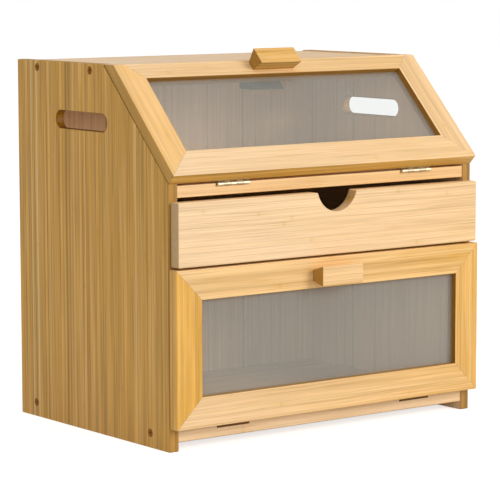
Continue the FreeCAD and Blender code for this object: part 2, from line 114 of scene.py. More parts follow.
# ---- node materials
class Wire:
    """One socket of a material. Arithmetic on it adds Math nodes, and node() adds any other."""

    def __init__(self, tree, socket):
        self.tree, self.socket = tree, socket

    def node(self, kind, settings=None, inputs=None, output=0):
        """Adds a node: its settings first, then a value or a link for each named or numbered input."""
        fresh = self.tree.nodes.new(kind)
        for key, value in (settings or {}).items():
            setattr(fresh, key, value)
        for key, value in (inputs or {}).items():
            if isinstance(value, Wire):
                self.tree.links.new(value.socket, fresh.inputs[key])
            else:
                fresh.inputs[key].default_value = value
        return Wire(self.tree, fresh.outputs[output])

    def math(self, operation, *values, clamp=False):
        settings = {"operation": operation, "use_clamp": clamp}
        return self.node("ShaderNodeMath", settings, dict(enumerate(values)))

    def __add__(self, other):
        return self.math("ADD", self, other)

    def __radd__(self, other):
        return self.math("ADD", other, self)

    def __sub__(self, other):
        return self.math("SUBTRACT", self, other)

    def __rsub__(self, other):
        return self.math("SUBTRACT", other, self)

    def __mul__(self, other):
        return self.math("MULTIPLY", self, other)

    def __rmul__(self, other):
        return self.math("MULTIPLY", other, self)

    def __truediv__(self, other):
        return self.math("DIVIDE", self, other)

    def __abs__(self):
        return self.math("ABSOLUTE", self)

    def floor(self):
        return self.math("FLOOR", self)

    def fraction(self):
        return self.math("FRACT", self)

    def clamped(self):
        return self.math("ADD", self, 0, clamp=True)

    def smooth(self, low, high):
        """0 below low, 1 above high, a smooth step between; falls where low > high."""
        return self.node("ShaderNodeMapRange", {"interpolation_type": "SMOOTHSTEP"},
                         {"Value": self, "From Min": low, "From Max": high})

    def mix(self, first, second):
        """The colour first where this is 0 and second where it is 1."""
        return self.node("ShaderNodeMix", {"data_type": "RGBA"}, {0: self, 6: first, 7: second}, 2)

    def product(self, first, second):
        """Two colours multiplied."""
        return self.node("ShaderNodeMix", {"data_type": "RGBA", "blend_type": "MULTIPLY"},
                         {0: 1.0, 6: first, 7: second}, 2)

    def times(self, colour):
        """A colour darkened or lightened by this value."""
        return self.product(colour, self.node("ShaderNodeCombineColor", None, {0: self, 1: self, 2: self}))

    def parts(self):
        """The three numbers of a vector."""
        return [self.node("ShaderNodeSeparateXYZ", None, {0: self}, k) for k in range(3)]

    def vector(self, x, y, z):
        return self.node("ShaderNodeCombineXYZ", None, {0: x, 1: y, 2: z})

    def attribute(self, name, output):
        return self.node("ShaderNodeAttribute", {"attribute_name": name}, None, output)

    def coordinates(self, output="Object"):
        """Where a point is on its own object, or with "Normal" which way it faces."""
        return self.node("ShaderNodeTexCoord", None, None, output)

    def noise(self, place, scale, detail=2.0, roughness=0.5):
        return self.node("ShaderNodeTexNoise", None,
                         {"Vector": place, "Scale": scale, "Detail": detail, "Roughness": roughness})

    def random(self, place):
        """A random number from 0 to 1 for every different vector."""
        return self.node("ShaderNodeTexWhiteNoise", {"noise_dimensions": "3D"}, {"Vector": place})


def srgb(red, green, blue):
    """A colour of 0 to 255 values as linear light, with alpha."""
    value = np.array([red, green, blue]) / 255
    linear = np.where(value <= 0.04045, value / 12.92, ((value + 0.055) / 1.055) ** 2.4)
    return (*linear.tolist(), 1.0)


def emptied(owner):
    """The wire that a material's or a world's nodes are made from, after its own nodes are cleared."""
    owner.use_nodes = True
    owner.node_tree.nodes.clear()
    return Wire(owner.node_tree, None)


def new_material(name):
    """An empty node material and its wire."""
    material = bpy.data.materials.new(name)
    return material, emptied(material)


def finish(owner, shader, kind="ShaderNodeOutputMaterial"):
    """Links a shader to the output of a material or a world."""
    output = owner.node_tree.nodes.new(kind)
    owner.node_tree.links.new(shader.socket, output.inputs["Surface"])
    return owner


def principled(wire, **sockets):
    """A Principled shader, with base_color for its Base Color socket and so on."""
    names = {key.replace("_", " ").title().replace("Ior", "IOR"): value for key, value in sockets.items()}
    return wire.node("ShaderNodeBsdfPrincipled", None, names)


def bump(wire, height, strength, distance):
    return wire.node("ShaderNodeBump", None, {"Height": height, "Strength": strength, "Distance": distance})


# Bamboo, in millimetres
STRIP = 5.6                  # width of the bamboo strips
SEAM = 168.0                 # between the joints of the glued-up boards
NODE_EVERY = 290.0           # along a strip
THIN_AT = (51.5, 61.5)       # from a glued joint to the bright lines beside it
STREAK = (1.7, 2.0)          # width and depth of a single dark or light fibre
PALE, GOLDEN = srgb(239, 204, 160), srgb(224, 168, 72)
DARK_LINE, BRIGHT_LINE = srgb(138, 98, 34), srgb(246, 208, 142)
END_PALE, END_GOLDEN = srgb(210, 176, 130), srgb(180, 132, 54)


def bamboo(name, tint=(1, 1, 1, 1)):
    """Edge-glued bamboo strips. The grain attribute holds millimetres along, across and into the board, and
    tone says how golden the board is; on the front boards, paler to the left, it also carries painted sheen.
    Strip number = floor(across / STRIP). Each strip has its own tone, fibres that run along it, nodes far apart
    and now and then a glue line at its edge. Faces that look sideways, or down and forwards, get painted shade:
    more golden and darker. tint multiplies the colour; a darker tint paints shade on window and slot walls.
    """
    material, wire = new_material(name)
    board_tone = wire.attribute("tone", "Fac")
    facing = wire.coordinates("Normal")
    along, across, depth = wire.attribute("grain", "Vector").parts()
    dot = wire.node("ShaderNodeVectorMath", {"operation": "DOT_PRODUCT"},
                    {0: facing, 1: wire.attribute("grain_way", "Vector")}, "Value")
    end = abs(dot).smooth(0.75, 0.95)

    def stretched(length, width, detail, roughness=0.5):
        """Noise drawn out along the grain."""
        place = wire.vector(along * length, across * width, depth * width)
        return wire.noise(place, 1.0, detail, roughness)

    strips = across / STRIP
    boards = across / SEAM
    strip, board = strips.floor(), boards.floor()
    lot = wire.random(wire.vector(strip, board, 3.0))
    lot_b = wire.random(wire.vector(strip, board, 11.0))
    # Painted shade: faces that look sideways, and faces that look down and forwards, turn more golden and
    # darker and show more glue lines. A board tone below 0 keeps a face out of it.
    right, back, up = facing.parts()
    under = up.smooth(-0.4, -0.65) * back.smooth(0.6, 0.3)
    shaded = (abs(right).smooth(0.6, 0.9) + under).clamped() * board_tone.smooth(-0.1, 0.0)
    golden = board_tone + (1 - board_tone) * shaded
    contrast = golden * golden * 0.55 + 0.8

    fibre = stretched(0.005, 0.3, 4.0, 0.8)
    fine = stretched(0.012, 1.8, 2.0, 0.6)
    bands = stretched(0.008, 0.2, 0.0)
    cloud = stretched(0.006, 0.02, 2.0)
    dash = stretched(0.008, 0.85, 1.0)
    streak = wire.random(wire.vector((across / STREAK[0]).floor(), (depth / STREAK[1]).floor(), 4.0))

    # glue lines between strips, and the joint between glued-up boards with thin bright lines beside it
    edge = abs(strips.fraction() - 0.5) * STRIP
    glue = edge.smooth(STRIP / 2 - 0.6, STRIP / 2 - 0.1) * lot_b.smooth(0.5 - 0.4 * shaded, 0.95)
    seam = (abs((boards + 0.5).fraction() - 0.5) * SEAM).smooth(1.9, 0.9)
    from_seam = boards.fraction() * SEAM
    thin = abs(from_seam - THIN_AT[0]).smooth(1.8, 0.8) + abs(from_seam - THIN_AT[1]).smooth(1.7, 0.6) * 0.8
    thin = thin * (board / 4).fraction().smooth(0.15, 0.05) * board_tone.smooth(0.6, 0.9)

    # nodes across a strip, each a wavy mark in a paler patch
    runs = along / NODE_EVERY + lot * 7.0
    wave = wire.noise(wire.vector(along * 0.1, across * 0.35, 2.0), 1.0, 1.0)
    knuckle = abs(runs.fraction() - 0.5) * NODE_EVERY + (wave - 0.5) * 3.0
    inside = edge.smooth(STRIP / 2, STRIP / 2 - 1.6)
    mark = knuckle.smooth(3.5, 0.0) * inside * lot_b.smooth(0.3, 0.8)
    halo = knuckle.smooth(16.0, 3.0) * inside

    drift = 0.50 * (fibre - 0.5) + 0.12 * (lot - 0.5) + 0.30 * (fine - 0.5)
    tone = golden + contrast * drift + 0.28 * (cloud - 0.5) + 0.10 * halo
    shade = 1 - contrast * (0.60 * (fibre - 0.5) + 0.05 * (lot - 0.5) + 0.60 * (fine - 0.5))
    # Painted shade: sideways and downward faces of the paler boards are a fifth darker.
    shade = shade * (1 - 0.2 * shaded * board_tone.smooth(0.95, 0.85))
    shade = shade * (1 - 0.04 * board_tone.smooth(0.95, 1.0))
    shade = shade - golden * (0.18 * (lot - 0.5) + 0.4 * (bands - 0.5))
    colour = shade.times(tone.clamped().mix(PALE, GOLDEN))
    light = streak.smooth(0.94, 0.97) * 0.30 + dash.smooth(0.36, 0.26) * 0.35
    colour = (light * contrast + thin).clamped().mix(colour, BRIGHT_LINE)
    lines = glue * (0.3 + 0.25 * shaded) + dash.smooth(0.62, 0.74) * 0.30 + streak.smooth(0.06, 0.03) * 0.2
    lines = lines * contrast + seam * 0.45 + mark * 0.12
    colour = lines.clamped().mix(colour, DARK_LINE)

    pores = wire.node("ShaderNodeTexVoronoi", None,
                      {"Vector": wire.vector(along * 0.1, across, depth), "Scale": 1.6})
    end_colour = board_tone.smooth(0.0, 0.5).mix(END_PALE, END_GOLDEN)
    grain_end = (pores.smooth(0.05, 0.4) * 0.25 + 0.45 + 0.6 * fibre).times(end_colour)
    colour = wire.product(end.mix(colour, grain_end), tint)
    height = fibre * 0.5 + fine * 0.3 - glue * 0.4 - seam
    shader = principled(wire, base_color=colour, roughness=0.46 + 0.15 * (fine - 0.5) + 0.2 * end,
                        specular_ior_level=0.3, normal=bump(wire, height, 0.25, 0.00012))
    return finish(material, shader)


def acrylic():
    """Clear sheet with a slight haze. It is clearer still to the rays that make shadows."""
    material, wire = new_material("clear_sheet")
    haze = wire.noise(wire.coordinates(), 9.0, 3.0)
    shadow_ray = wire.node("ShaderNodeLightPath", None, None, "Is Shadow Ray")
    shader = principled(wire, base_color=srgb(202, 208, 200), roughness=haze * 0.06 + 0.22,
                        alpha=haze * 0.04 + 0.18 - 0.12 * shadow_ray)
    return finish(material, shader)


def metal(name, colour, rough, brushed=0.0):
    """Metal with faint scratches and duller patches."""
    material, wire = new_material(name)
    place = wire.coordinates()
    patches = wire.noise(place, 90.0, 3.0)
    drawn_out = wire.node("ShaderNodeVectorMath", {"operation": "MULTIPLY"},
                          {0: place, 1: (120.0, 2500.0, 2500.0)})
    lines = wire.noise(drawn_out, 1.0, 2.0)
    shade = 0.85 + 0.3 * patches * (1 - brushed) + brushed * 0.3 * lines
    shader = principled(wire, base_color=shade.times(colour), metallic=1.0,
                        roughness=rough + 0.12 * patches, normal=bump(wire, lines, 0.15, 0.00005))
    return finish(material, shader)


def moulded(name, colour, rough):
    """Moulded plastic or sintered magnet with a fine leathery surface."""
    material, wire = new_material(name)
    place = wire.coordinates()
    grain = wire.noise(place, 1500.0, 2.0)
    patches = wire.noise(place, 60.0, 2.0)
    shader = principled(wire, base_color=(0.85 + 0.3 * patches).times(colour), roughness=rough + 0.1 * grain,
                        specular_ior_level=0.25, normal=bump(wire, grain, 0.3, 0.0001))
    return finish(material, shader)


FINISH = {
    "bamboo": bamboo("lacquered_bamboo"),
    "clear_acrylic": acrylic(),
    "hinge_steel": metal("bright_hinge_steel", srgb(212, 198, 168), 0.32),
    "plate_steel": metal("steel_sheet", srgb(170, 170, 172), 0.3, 1.0),
    "screw_steel": metal("browned_screw_steel", srgb(124, 80, 26), 0.42),
    "brown_plastic": moulded("brown_plastic", srgb(46, 32, 28), 0.45),
    "magnet": moulded("magnet_black", srgb(50, 48, 48), 0.55),
}

# Bamboo darkened and made more golden: painted shade for the walls round the windows and inside the hand slots.
RIM_SHADE = bamboo("window_rim_painted_shade", (0.52, 0.43, 0.22, 1.0))
# Dark steel for the door's hinges: painted shade, for the shade they sit in below the door's lower edge.
SHADE_HINGE = metal("hinge_steel_painted_shade", srgb(92, 60, 30), 0.4)
# A little darker steel for the lid hinges' swinging leaves: painted shade, so that the knuckles part from each
# other as the shaded gaps between them do.
GAP_SHADE_HINGE = metal("hinge_steel_painted_gap_shade", srgb(186, 172, 146), 0.35)


# ---- outlines: rows of a point and its outward normal
def arc(centre, radius, start, end):
    """Points centre + radius (cos t, sin t) and their outward normals, in columns. Where t falls the hollow
    side is outside, so the normal turns round."""
    count = 3 + int(3 * abs(end - start) * math.sqrt(radius))
    t = np.linspace(start, end, count)
    ray = np.stack([np.cos(t), np.sin(t)], -1)
    return np.hstack([centre + radius * ray, ray if end > start else -ray])


def circle(centre, radius):
    """A round hole, run clockwise."""
    return arc(centre, radius, 2 * math.pi, 0)[:-1]


def rounded(corners, radius):
    """A closed outline, run anticlockwise, with an arc at each corner: centre = corner -+ radius m, where
    m = (n0 + n1) / (1 + n0 . n1) for the outward normals n0 and n1 of the two sides."""
    corners = np.array(corners, float)
    radii = np.broadcast_to(radius, len(corners))
    side = np.roll(corners, -1, 0) - corners
    side /= np.linalg.norm(side, axis=1, keepdims=True)
    after = np.stack([side[:, 1], -side[:, 0]], -1)
    before = np.roll(after, 1, 0)
    turn = np.arctan2(before[:, 0] * after[:, 1] - before[:, 1] * after[:, 0], (before * after).sum(1))
    middle = (before + after) / (1 + (before * after).sum(1, keepdims=True))
    bend = np.sign(turn)
    centres = corners - (bend * radii)[:, None] * middle
    start = np.arctan2(before[:, 1], before[:, 0]) + np.where(bend < 0, math.pi, 0)
    return np.vstack([arc(c, r, s, s + t) for c, r, s, t in zip(centres, radii, start, turn)])


def rectangle(low, high, radius):
    """The outline of a rectangle between two opposite corners."""
    (a0, b0), (a1, b1) = low, high
    return rounded([(a0, b0), (a1, b0), (a1, b1), (a0, b1)], radius)


# ---- shells: points and blocks of faces
def ring_quads(rings, sides):
    """The quads between closed rings of points, ring by ring."""
    j, i = np.meshgrid(np.arange(sides), np.arange(rings - 1))
    k = (j + 1) % sides
    quads = [i * sides + j, i * sides + k, (i + 1) * sides + k, (i + 1) * sides + j]
    return np.stack(quads, -1).reshape(-1, 4)


def eased_edge(ease):
    """How far in and how far from the face each ring of a rounded edge lies: e (1 - cos t), e (1 - sin t)."""
    t = np.linspace(0, math.pi / 2, 4) if ease else [0.0]
    return [(ease * (1 - math.cos(a)), ease * (1 - math.sin(a))) for a in t]


def plate(loops, low, high):
    """A closed solid between two heights. Each loop is (outline, lower rounding, upper rounding), the outer
    one first, then holes run clockwise. Its rings are set in towards each face as eased_edge says."""
    points, quads, lower, upper, start = [], [], [], [], 0
    for outline, below, above in loops:
        spot, normal = outline[:, :2], outline[:, 2:]
        rings = [(inward, low + rise) for inward, rise in eased_edge(below)[::-1]]
        rings += [(inward, high - drop) for inward, drop in eased_edge(above)]
        inset, height = np.array(rings).T
        ring = spot[None] - inset[:, None, None] * normal[None]
        level = np.broadcast_to(height[:, None, None], ring.shape[:2] + (1,))
        points.append(np.dstack([ring, level]).reshape(-1, 3))
        n, count = len(outline), len(rings)
        quads.append(start + ring_quads(count, n))
        lower.append(start + np.arange(n))
        upper.append(start + (count - 1) * n + np.arange(n))
        start += n * count
    points = np.vstack(points)
    faces = [np.vstack(quads)]
    for cap in (lower, upper):
        order = np.concatenate(cap)
        flat = [np.c_[points[loop, :2], np.zeros(len(loop))].tolist() for loop in cap]
        faces.append(order[np.array(tessellate_polygon(flat))])
    return points, faces


def turned(profile, sides):
    """Points (r cos t, r sin t, h) of each (radius, height) row of a profile, ring by ring."""
    radius, height = np.array(profile, float).T
    t = np.arange(sides) * 2 * math.pi / sides
    level = np.broadcast_to(height[:, None], (len(radius), sides))
    return np.stack([radius[:, None] * np.cos(t), radius[:, None] * np.sin(t), level], -1)


def lathe(profile, sides=24):
    """A closed solid turned about its height, from one end of the axis to the other."""
    first = np.arange(sides)[None]
    last = first + (len(profile) - 1) * sides
    return turned(profile, sides).reshape(-1, 3), [ring_quads(len(profile), sides), first, last]


SCREW_SIDES = 48
RECESS_ARM, RECESS_HALF, RECESS_WALL, RECESS_DEEP = 0.66, 0.17, 0.05, 0.36   # of the head's radius


def screw(head, shank, length, dome=0.0):
    """A countersunk screw that runs down from height 0. Its head rises as dome (1 - (r / head)^2). Its cross
    recess sinks by deep sqrt(1 - r / arm), with sloping walls, where the nearer arm's middle is close."""
    face = np.linspace(0, head - 0.12, 11)
    profile = [(r, dome * (1 - (r / head) ** 2)) for r in face]
    profile += [(head, -0.1), (shank, shank - head), (shank, shank - length)]
    profile += [(shank / 4, -length), (0, -length)]
    points = turned(profile, SCREW_SIDES)
    top = points[:len(face)]
    from_arm = np.abs(top[..., :2]).min(-1)
    across = np.clip((RECESS_HALF * head - from_arm) / (RECESS_WALL * head), 0, 1)
    outwards = np.clip(1 - face[:, None] / (RECESS_ARM * head), 0, 1)
    top[..., 2] -= RECESS_DEEP * head * (across * outwards ** 0.5)
    quads = ring_quads(len(profile), SCREW_SIDES)[:, (0, 3, 2, 1)]
    return points.reshape(-1, 3), [quads]


def placed(shell, axes, origin=(0, 0, 0)):
    """A shell moved from its own three directions to where they are on the box."""
    points, faces = shell
    return np.array(origin, float) + points @ np.array(axes, float), faces


def driven(shape, point, direction, lift=0.03):
    """A screw driven along a direction, with its head proud of a point by lift."""
    down = np.array(direction, float)
    side = np.cross(down, (0.3, 0.5, 0.8))
    side = side / np.linalg.norm(side)
    return placed(shape, (side, np.cross(-down, side), -down), np.array(point) - lift * down)


# ---- pieces
WELD = 1e-7                  # metres between points that are one
SHARP = math.radians(35.0)   # an edge that turns more is shaded sharp
PIECE_NUMBERS = itertools.count(1)


def solid_mesh(name, shells, cuts):
    """A mesh of closed shells. What lies beyond a cut plane, given as (point, outward normal), is taken off
    and the hole is filled."""
    mesh = bpy.data.meshes.new(name)
    starts = np.cumsum([0] + [len(points) for points, _ in shells])
    points = np.vstack([points for points, _ in shells]) * MM
    polygons = []
    for start, (_, faces) in zip(starts, shells):
        for block in faces:
            polygons += (block + start).tolist()
    mesh.from_pydata(points.tolist(), [], polygons)
    body = bmesh.new()
    body.from_mesh(mesh)
    bmesh.ops.remove_doubles(body, verts=body.verts, dist=WELD)
    for point, normal in cuts:
        bmesh.ops.bisect_plane(body, geom=body.verts[:] + body.edges[:] + body.faces[:], dist=WELD,
                               plane_co=np.array(point) * MM, plane_no=normal, clear_outer=True)
        bmesh.ops.holes_fill(body, edges=[edge for edge in body.edges if edge.is_boundary], sides=0)
    bmesh.ops.recalc_face_normals(body, faces=body.faces)
    body.to_mesh(mesh)
    body.free()
    return mesh


def lay_grain(mesh, along, across, seam, tone, ends):
    """Writes the board's grain to each point, with its own offsets for each piece, and its tone."""
    number = next(PIECE_NUMBERS)
    spots = np.zeros(len(mesh.vertices) * 3, np.float32)
    mesh.vertices.foreach_get("co", spots)
    spots = spots.reshape(-1, 3) / MM
    grain = spots @ np.array([along, across, np.cross(along, across)]).T
    if seam is None:
        seam = (grain[:, 1].min() + grain[:, 1].max() - SEAM) / 2
    grain += (97.3 * number, 4 * SEAM * number - seam, 53.7 * number)
    for attribute, values in (("grain", grain), ("grain_way", np.tile(along, (len(grain), 1)))):
        layer = mesh.attributes.new(attribute, "FLOAT_VECTOR", "POINT")
        layer.data.foreach_set("vector", values.astype(np.float32).ravel())
    tones = np.interp(spots[:, 0], ends, np.broadcast_to(tone, 2))
    layer = mesh.attributes.new("tone", "FLOAT", "POINT")
    layer.data.foreach_set("value", tones.astype(np.float32))


def darken_rims(mesh, rims):
    """Gives the bamboo with painted shade to the faces that any of the choosers takes."""
    mesh.materials.append(RIM_SHADE)
    middle = np.zeros(len(mesh.polygons) * 3, np.float32)
    normal = np.zeros(len(mesh.polygons) * 3, np.float32)
    mesh.polygons.foreach_get("center", middle)
    mesh.polygons.foreach_get("normal", normal)
    middle, normal = middle.reshape(-1, 3) / MM, normal.reshape(-1, 3)
    in_painted_shade = np.any([chosen(middle, normal) for chosen in rims], axis=0)
    mesh.polygons.foreach_set("material_index", in_painted_shade.astype(np.int32))


def piece(name, node, shells, cuts=(), along=X, across=Z, seam=None, tone=(0.1, 0.35), ends=(-WIDE, WIDE),
          finish_with=None, rims=()):
    """One object from closed shells. along and across are the directions of its grain, seam is where on
    across a glued joint lies, and tone says how golden its board is at each of the two ends along x. On the
    front boards the tone's rise from left to right is partly painted sheen, which makes the left of the front
    paler. Faces that the given choosers take get the bamboo with painted shade."""
    mesh = solid_mesh(name, shells, cuts)
    lay_grain(mesh, along, across, seam, tone, ends)
    mesh.shade_smooth()
    mesh.set_sharp_from_angle(angle=SHARP)
    mesh.materials.append(finish_with or FINISH[SUBPARTS[node]])
    if rims:
        darken_rims(mesh, rims)
    made = bpy.data.objects.new(name, mesh)
    bpy.context.scene.collection.objects.link(made)
    even = made.modifiers.new("even shading", "WEIGHTED_NORMAL")
    even.keep_sharp, even.weight = True, 100
    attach(made, BODY_OF[node])
    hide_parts(node)


def on_plane(point, outward):
    """Chooses the faces of a piece that lie in a plane and look along its outward direction."""
    return lambda middle, normal: (np.abs((middle - point) @ outward) < 1.0) & (normal @ outward > 0.5)


# ---- carcass
SLOPE_FOOT = 243.0           # where the 45 degree slope starts
SLOPE_BACK = FRONT + TALL - SLOPE_FOOT
SLOT_AT, SLOT_REACH = np.array([FRONT + 142.0, 292.3]), np.array([44.0, 8.5])
SLOT_EASE = 1.5
SCREW_HOLE = 3.9
SIDE_SCREWS = [(FRONT + 126.0, 340.0), (FRONT + 217.5, 340.0), (FRONT + 31.0, 13.8), (FRONT + 226.0, 13.8)]
SEAM_AT = FRONT + 168.0      # the glued joint that shows on the sides
# A tone below 0 also keeps the insides out of the painted shade that sideways faces get.
INSIDE_TONE, SKIN = -0.15, 0.3   # the sides are pale on the inside, in a skin this thick


def in_slot(middle, normal):
    """Chooses the faces inside a hand slot, which get painted shade."""
    return (np.abs(middle[:, 1:] - SLOT_AT) < SLOT_REACH + 1).all(1) & (np.abs(normal[:, 0]) < 0.5)


def side_panel(side, sign):
    """A board with its front top corner sloped, a hand slot with round ends and four screw holes, drawn out
    from left to right. So each pair of (outside, inside) values is turned round for the right side."""
    panel = rounded([(FRONT, 0), (REAR, 0), (REAR, TALL), (SLOPE_BACK, TALL), (FRONT, SLOPE_FOOT)], 1.0)
    (y0, z0), (y1, z1) = SLOT_AT - SLOT_REACH, SLOT_AT + SLOT_REACH
    slot = rounded([(y1, z0), (y1, z1), (y0, z1), (y0, z0)], SLOT_REACH[1] - 0.01)
    hole = slot[::-1] * (1, 1, -1, -1)
    loops = [(panel, *(EASE, BACK_EASE)[::-sign]), (hole, SLOT_EASE, SLOT_EASE)]
    loops += [(circle(at, SCREW_HOLE), *(FINE_EASE, 0)[::-sign]) for at in SIDE_SCREWS]
    shell = plate(loops, *sorted((sign * WIDE, sign * INNER)))
    inside = (sign * INNER, sign * (INNER + SKIN))
    piece(f"{side}_side", f"{side}_side_panel", [placed(shell, FROM_SIDE)], along=Z, across=Y, seam=SEAM_AT,
          tone=(1.0, INSIDE_TONE)[::-sign], ends=inside[::sign], rims=[in_slot])


def top():
    """The board between the sides' tops: its outline from the side, with the front edge cut along the slope,
    drawn out across the box."""
    low, high = size("top_board")
    board = high[2] - low[2]
    corners = [(low[1], low[2]), (high[1], low[2]), (high[1], high[2]), (low[1] + board, high[2])]
    shell = plate([(rounded(corners, EASE), 0.25, 0.25)], low[0], high[0])
    piece("top", "top_board", [placed(shell, FROM_SIDE)], across=Y)


def back():
    """A flat board: a rectangle in (x, z) drawn out through its thickness."""
    low, high = size("back_panel")
    shell = plate([(rectangle(low[[0, 2]], high[[0, 2]], 0.5), FINE_EASE, FINE_EASE)], -high[1], -low[1])
    piece("back", "back_panel", [placed(shell, FROM_FRONT)], along=Z, across=X, tone=0.0)


HINGE_LONG, HINGE_REACH = 36.0, 12.0
BARREL, LEAF_THICK = 1.8, 1.0    # the knuckles' radius and the leaves' thickness
HINGE_SHIFT = 0.8            # to the right of the hinge pins' middles
MORTISE, MORTISE_ROOM = 2.65, 0.3
HOUSING_STOP = 9.0           # the housings end this far behind a shelf's front


def shelf(name, node, hinged=None, housed=True, tone=(0.1, 0.35)):
    """A shelf in two layers, the upper one cut out for the leaves of the lid's or the door's hinges. Its ends
    are housed in the sides, or end at them."""
    low, high = size(node)
    stop, rear = low[1] + HOUSING_STOP, high[1]
    floor = high[2] - MORTISE
    left = [(-INNER, rear), (-INNER, low[1])]
    if housed:
        left = [(-high[0], rear), (-high[0], stop), (-INNER, stop), (-INNER, low[1])]
    right = [(-x, y) for x, y in left[::-1]]
    notches = []
    for side, _ in SIDES if hinged else ():
        leaf_low, leaf_high = size(f"{hinged}_{side}_hinge_fixed_leaf")
        middle = (leaf_low[0] + leaf_high[0]) / 2 + HINGE_SHIFT
        a, b = middle - HINGE_LONG / 2 - MORTISE_ROOM, middle + HINGE_LONG / 2 + MORTISE_ROOM
        notches += [(a, low[1]), (a, leaf_high[1]), (b, leaf_high[1]), (b, low[1])]
    under = plate([(rounded(left + right, FINE_EASE), EASE, 0)], low[2], floor)
    over = plate([(rounded(left + notches + right, FINE_EASE), 0, FINE_EASE)], floor, high[2])
    piece(name, node, [placed(under, FROM_ABOVE), placed(over, FROM_ABOVE)], across=Y, tone=tone)


for side, sign in SIDES:
    side_panel(side, sign)
top()
back()
shelf("lid_shelf", "upper_shelf", hinged="lid", tone=(0.3, 0.5))
shelf("drawer_bearer", "drawer_shelf")
shelf("bottom", "bottom_board", hinged="door", housed=False, tone=(0.0, 0.1))

# ---- lid and door: each has its origin and its directions across, up and out
MEMBER = 28.5
LEAF_LOW, LEAF_HIGH = 0.3, 12.0
SLANT_ROOM = 0.3             # kept free above the lid's slanted upper edge
MITRE_GAP = 0.06             # left open on each side of a mitre
PANE_HOLD, PANE_INSET, PANE_THICK = 4.5, 5.0, 2.0
LID = ((0, FRONT, SLOPE_FOOT), X, (Y + Z) / math.sqrt(2), (Z - Y) / math.sqrt(2))
LID_LONG = (TALL - SLOPE_FOOT) * math.sqrt(2)
LID_WINDOW_TOP = 116.8
# Tones at the two ends of each member: the rails' rise from left to right is partly painted sheen, which makes
# the left of the front paler.
LID_TONES = {"bottom_rail": (0.0, 0.35), "top_rail": (0.2, 0.45), "left_stile": 0.6, "right_stile": 0.3}
DOOR_LOW = size("door_bottom_rail")[0][2]
DOOR = ((0, FRONT, DOOR_LOW), X, Z, -Y)
DOOR_LONG = size("door_top_rail")[1][2] - DOOR_LOW
DOOR_TONES = {"bottom_rail": (0.2, 0.7), "top_rail": (0.4, 0.8), "left_stile": 1.0, "right_stile": 0.8}


def member_section(low, high, lean):
    """A member's outline, up the frame and out of it. lean is how far its upper edge slants."""
    if lean:
        high = high - SLANT_ROOM
    corners = [(low, LEAF_LOW), (high, LEAF_LOW), (high - lean, LEAF_HIGH), (low, LEAF_HIGH)]
    return rounded(corners, (BACK_EASE, BACK_EASE, EASE, EASE))


def framed(prefix, place, long, window_top, lean, tones):
    """Four members with mitred corners round a window: a is across the box, b up the frame, c out of it. A
    rail is its (b, c) section drawn out along a; the mitre planes take off its ends. A stile is made the same
    way. The window is a rectangle in (a, b) drawn out along c."""
    origin, along_a, along_b, along_c = place
    hole = WIDE - MEMBER
    levels = ((0, MEMBER), (long, window_top))

    def world(a, b):
        return origin + a * along_a + b * along_b

    def mitre(sign, end, away):
        """The plane through the frame's corner and the window's, with its normal towards a point away from
        the member. end is 0 at the frame's foot and 1 at its top."""
        outer, inner = levels[end]
        corner = world(sign * WIDE, outer)
        normal = np.cross(world(sign * hole, inner) - corner, along_c)
        normal = normal / np.linalg.norm(normal)
        if normal @ (world(*away) - corner) < 0:
            normal = -normal
        return corner - normal * MITRE_GAP, normal

    def member(name, node, section, span, **details):
        shell = plate([(section, EASE, EASE)], *span)
        piece(f"{prefix}_{name}", f"{prefix}_{node}", [placed(shell, (along_b, along_c, along_a), origin)],
              tone=tones[node], **details)

    # Each member's wall round the window gets painted shade.
    for end, name, node in ((0, "lower_member", "bottom_rail"), (1, "upper_member", "top_rail")):
        rim = on_plane(world(0, levels[end][1]), (1 - 2 * end) * along_b)
        member(name, node, member_section(*sorted(levels[end]), lean * end), (-WIDE, WIDE),
               cuts=[mitre(sign, end, (sign * WIDE, levels[1 - end][0])) for sign in (-1, 1)],
               along=along_a, across=along_b, rims=[rim])
    for side, sign in SIDES:
        rim = on_plane(world(sign * hole, 0), -sign * along_a)
        member(f"{side}_member", f"{side}_stile", member_section(0, long, lean),
               sorted((sign * hole, sign * WIDE)),
               cuts=[mitre(sign, end, (0, levels[end][0])) for end in (0, 1)],
               along=along_b, across=along_a, rims=[rim])
    reach = hole + PANE_HOLD
    pane = rectangle((-reach, MEMBER - PANE_HOLD), (reach, window_top + PANE_HOLD), 1.0)
    shell = plate([(pane, 0.1, 0.1)], LEAF_HIGH - PANE_INSET - PANE_THICK, LEAF_HIGH - PANE_INSET)
    piece(f"{prefix}_pane", f"{prefix}_window", [placed(shell, place[1:], origin)])


framed("lid", LID, LID_LONG, LID_WINDOW_TOP, LEAF_HIGH - LEAF_LOW, LID_TONES)
framed("door", DOOR, DOOR_LONG, DOOR_LONG - MEMBER, 0.0, DOOR_TONES)

PULL_LONG, PULL_BASE, PULL_FACE, PULL_REACH = 48.0, 10.3, 19.2, 15.0
PULL_EASES, PULL_END_EASE = (0.2, 0.2, 0.9, 0.9), 0.7
PULL_SCREW_X, PULL_SCREW = 16.5, screw(3.2, 1.8, 20.0, dome=0.7)
STRIKE_WIDE, STRIKE_TALL, STRIKE_THICK = 34.0, 12.0, 1.2
STRIKE_SCREW_X, STRIKE_HOLE, STRIKE_SCREW = 13.0, 2.35, screw(2.3, 1.3, 9.0)


